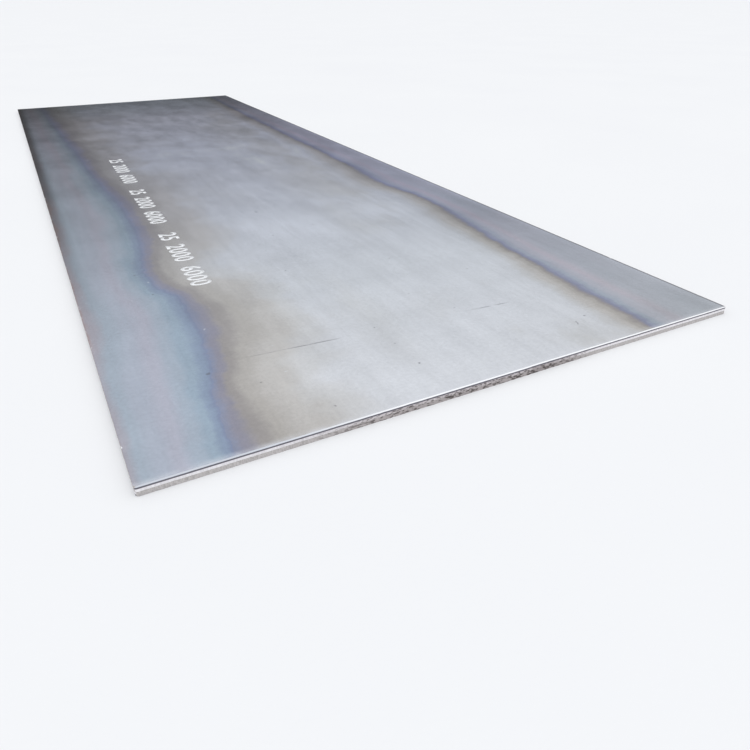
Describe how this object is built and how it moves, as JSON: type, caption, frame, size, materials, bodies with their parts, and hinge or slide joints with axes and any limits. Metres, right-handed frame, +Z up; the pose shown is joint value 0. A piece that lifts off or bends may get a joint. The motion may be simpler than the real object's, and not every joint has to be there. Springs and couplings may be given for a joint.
{
  "type": "steel plate",
  "caption": "Flat hot-rolled steel plate with sheared edges and mill scale, lying on its lower face, for cutting, welding or laying flat.",
  "frame": {"origin": "middle of the lower face, which lies on the floor", "axes": "+X across the plate, +Y along the rolling direction towards the far end, +Z up through the thickness"},
  "size_m": [2, 6, 0.025],
  "materials": {
    "mill_scale_steel": "grey mill scale with blue and straw heat tints along both long edges, bright sheared edges"
  },
  "bodies": {
    "root": {"steel_plate": "mill_scale_steel"}
  },
  "joints": []
}
